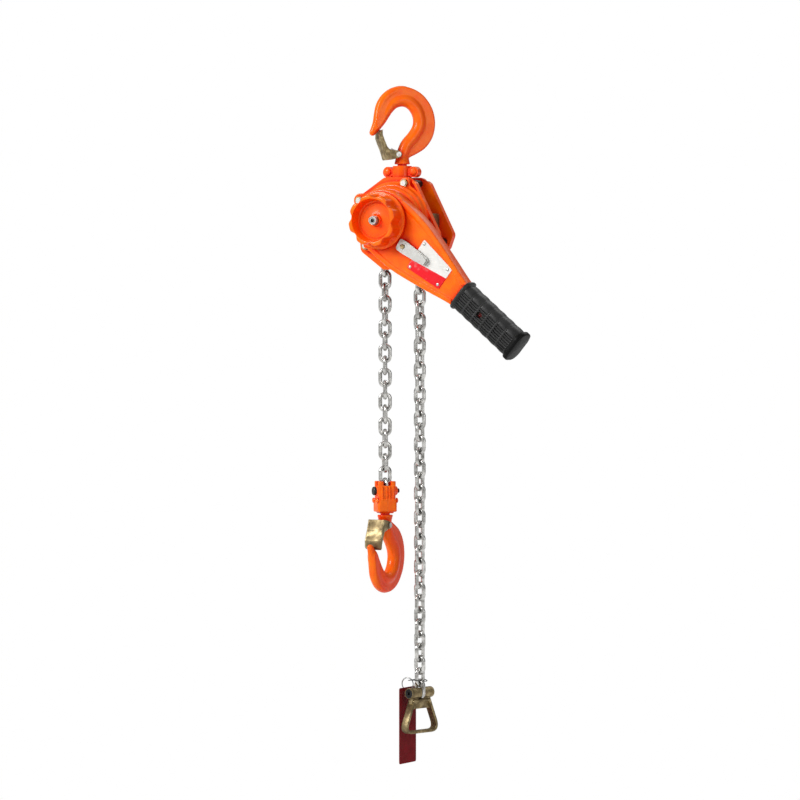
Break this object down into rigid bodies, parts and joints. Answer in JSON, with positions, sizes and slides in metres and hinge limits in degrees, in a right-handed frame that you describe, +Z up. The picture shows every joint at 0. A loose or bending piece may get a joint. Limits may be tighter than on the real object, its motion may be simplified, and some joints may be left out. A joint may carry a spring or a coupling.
{
  "type": "chain lever hoist",
  "caption": "Hand-operated chain lever hoist with swivelling top and bottom safety hooks, a geared load sheave, a ratchet lever with a rubber grip, a lobed hand wheel and a slack end ring.",
  "frame": {"origin": "centre of the top hook's bowl, on the swivel's axis", "axes": "+Z up along the swivel's axis, -Y towards the hand wheel and lever, +X towards the side the lever's grip points to at rest"},
  "size_m": [0.2967, 0.147, 0.996],
  "materials": {
    "orange_paint": "satin enamel",
    "wheel_paint": "satin enamel",
    "bright_zinc": "bright zinc plate",
    "yellow_zinc": "yellow passivated zinc plate",
    "chain_steel": "bright plated chain",
    "machined_steel": "machined",
    "black_steel": "black oxide",
    "bronze": "sintered",
    "lining": "friction lining",
    "spring_steel": "drawn wire",
    "grip_rubber": "moulded",
    "plate_print": "printed sheet",
    "tag_card": "coated card",
    "cord_black": "braided cord"
  },
  "bodies": {
    "top_hook": {"top_hook": "orange_paint", "top_latch_pin": "bright_zinc", "top_latch_spring": "spring_steel"},
    "top_latch": {"top_latch": "yellow_zinc"},
    "yoke": {"yoke_front": "orange_paint", "yoke_rear": "orange_paint", "yoke_rivets": "orange_paint"},
    "frame": {"top_pin": "machined_steel", "side_plate_front": "orange_paint", "side_plate_rear": "orange_paint", "stay_bolts": "bright_zinc", "stay_nuts": "yellow_zinc", "stay_spacers": "black_steel", "gear_case": "orange_paint", "brake_cover": "orange_paint", "chain_guide": "yellow_zinc", "chain_stripper": "black_steel", "sheave_bushes": "bronze", "ratchet_disc": "machined_steel", "pawl_pins": "machined_steel", "pawl_springs": "spring_steel", "chain_wrap": "chain_steel"},
    "guide_roller": {"guide_roller": "machined_steel"},
    "drive": {"drive_shaft": "machined_steel", "disc_hub": "machined_steel", "friction_plates": "lining", "change_gear": "machined_steel", "wheel_spring": "spring_steel", "end_nut": "bright_zinc"},
    "hand_wheel": {"hand_wheel": "wheel_paint"},
    "disc_gear_1": {"disc_gear_1": "machined_steel"},
    "disc_gear_2": {"disc_gear_2": "machined_steel"},
    "sheave": {"load_sheave": "machined_steel", "load_gear": "machined_steel"},
    "pawl_1": {"pawl_1": "machined_steel"},
    "pawl_2": {"pawl_2": "machined_steel"},
    "lever": {"lever_rear": "orange_paint", "lever_front": "orange_paint", "lever_screws": "orange_paint", "name_plate": "plate_print", "plate_rivets": "bright_zinc", "grip": "grip_rubber"},
    "selector": {"change_pawl": "machined_steel", "selector": "bright_zinc", "selector_screw": "yellow_zinc"},
    "load_fall": {"chain_load_fall": "chain_steel", "block_front": "orange_paint", "block_rear": "orange_paint", "chain_pin": "black_steel", "block_rivets": "orange_paint"},
    "bottom_hook": {"bottom_hook": "orange_paint", "bottom_latch_pin": "bright_zinc", "bottom_latch_spring": "spring_steel"},
    "bottom_latch": {"bottom_latch": "yellow_zinc"},
    "tail_fall": {"chain_tail_fall": "chain_steel", "end_pin": "black_steel", "tag_cord": "cord_black"},
    "end_ring": {"end_ring": "yellow_zinc"},
    "tag": {"tag": "tag_card", "tag_ring": "spring_steel"}
  },
  "joints": [
    {"name": "top_latch_hinge", "type": "hinge", "parent": "top_hook", "child": "top_latch", "pos_m": [-0.00658, -0.00614, -0.052], "axis": [-0.682, 0.7314, 0], "range_deg": [0, 35], "stiffness_Nm_per_rad": 0.05, "springref_deg": -34.38},
    {"name": "hook_swivel", "type": "hinge", "parent": "top_hook", "child": "yoke", "pos_m": [0, 0, -0.079], "axis": [0, 0, 1], "continuous": true},
    {"name": "frame_hinge", "type": "hinge", "parent": "yoke", "child": "frame", "pos_m": [0, 0, -0.099], "axis": [0, 1, 0], "range_deg": [-10, 10]},
    {"name": "guide_roller_spin", "type": "hinge", "parent": "frame", "child": "guide_roller", "pos_m": [-0.047, 0, -0.162], "axis": [0, 1, 0], "continuous": true},
    {"name": "drive_turn", "type": "hinge", "parent": "frame", "child": "drive", "pos_m": [0, 0, -0.15], "axis": [0, 1, 0], "range_deg": [-4320, 2250]},
    {"name": "hand_wheel_pull", "type": "slide", "parent": "drive", "child": "hand_wheel", "axis": [0, -1, 0], "range_m": [0, 0.004], "stiffness_N_per_m": 900, "springref_m": -0.001, "deforming": ["wheel_spring"]},
    {"name": "disc_gear_1_turn", "type": "hinge", "parent": "frame", "child": "disc_gear_1", "pos_m": [0.02537, 0.035, -0.14077], "axis": [0, 1, 0], "range_deg": [-1125, 2160]},
    {"name": "disc_gear_2_turn", "type": "hinge", "parent": "frame", "child": "disc_gear_2", "pos_m": [-0.02537, 0.035, -0.15923], "axis": [0, 1, 0], "range_deg": [-1125, 2160]},
    {"name": "sheave_turn", "type": "hinge", "parent": "frame", "child": "sheave", "pos_m": [0, 0, -0.15], "axis": [0, 1, 0], "range_deg": [-1080, 562.5], "deforming": ["chain_wrap"]},
    {"name": "pawl_1_hinge", "type": "hinge", "parent": "frame", "child": "pawl_1", "pos_m": [0.022, -0.033, -0.11189], "axis": [0, 1, 0], "range_deg": [0, 12], "stiffness_Nm_per_rad": 0.02, "springref_deg": -20.05},
    {"name": "pawl_2_hinge", "type": "hinge", "parent": "frame", "child": "pawl_2", "pos_m": [-0.022, -0.033, -0.1881], "axis": [0, 1, 0], "range_deg": [0, 12], "stiffness_Nm_per_rad": 0.02, "springref_deg": -20.05},
    {"name": "lever_turn", "type": "hinge", "parent": "frame", "child": "lever", "pos_m": [0, 0, -0.15], "axis": [0, 1, 0], "continuous": true},
    {"name": "selector_turn", "type": "hinge", "parent": "lever", "child": "selector", "pos_m": [0.0388, -0.0593, -0.18777], "axis": [0, 1, 0], "range_deg": [-25, 25]},
    {"name": "load_travel", "type": "slide", "parent": "frame", "child": "load_fall", "axis": [0, 0, 1], "range_m": [-0.5401, 0.2814], "deforming": ["chain_load_fall"]},
    {"name": "bottom_hook_swivel", "type": "hinge", "parent": "load_fall", "child": "bottom_hook", "pos_m": [-0.0285, 0, -0.58011], "axis": [0, 0, 1], "continuous": true},
    {"name": "bottom_latch_hinge", "type": "hinge", "parent": "bottom_hook", "child": "bottom_latch", "pos_m": [-0.02866, -0.009, -0.59711], "axis": [0.9998, -0.0175, 0], "range_deg": [0, 35], "stiffness_Nm_per_rad": 0.05, "springref_deg": -34.38},
    {"name": "tail_travel", "type": "slide", "parent": "frame", "child": "tail_fall", "axis": [0, 0, 1], "range_m": [-0.2814, 0.5401], "deforming": ["chain_tail_fall"]},
    {"name": "end_ring_hinge", "type": "hinge", "parent": "tail_fall", "child": "end_ring", "pos_m": [0.02926, 0, -0.84287], "axis": [0.225, 0.9744, 0], "range_deg": [-100, 3]},
    {"name": "tag_hinge", "type": "hinge", "parent": "tail_fall", "child": "tag", "pos_m": [0.011, 0, -0.82387], "axis": [0, 1, 0], "range_deg": [0, 60]}
  ],
  "couplings": [
    {"joint": "disc_gear_1_turn", "follows": "drive_turn", "ratio": -0.5},
    {"joint": "disc_gear_2_turn", "follows": "drive_turn", "ratio": -0.5},
    {"joint": "sheave_turn", "follows": "drive_turn", "ratio": 0.25},
    {"joint": "load_travel", "follows": "drive_turn", "m_per_rad": 0.007162},
    {"joint": "tail_travel", "follows": "drive_turn", "m_per_rad": -0.007162}
  ]
}
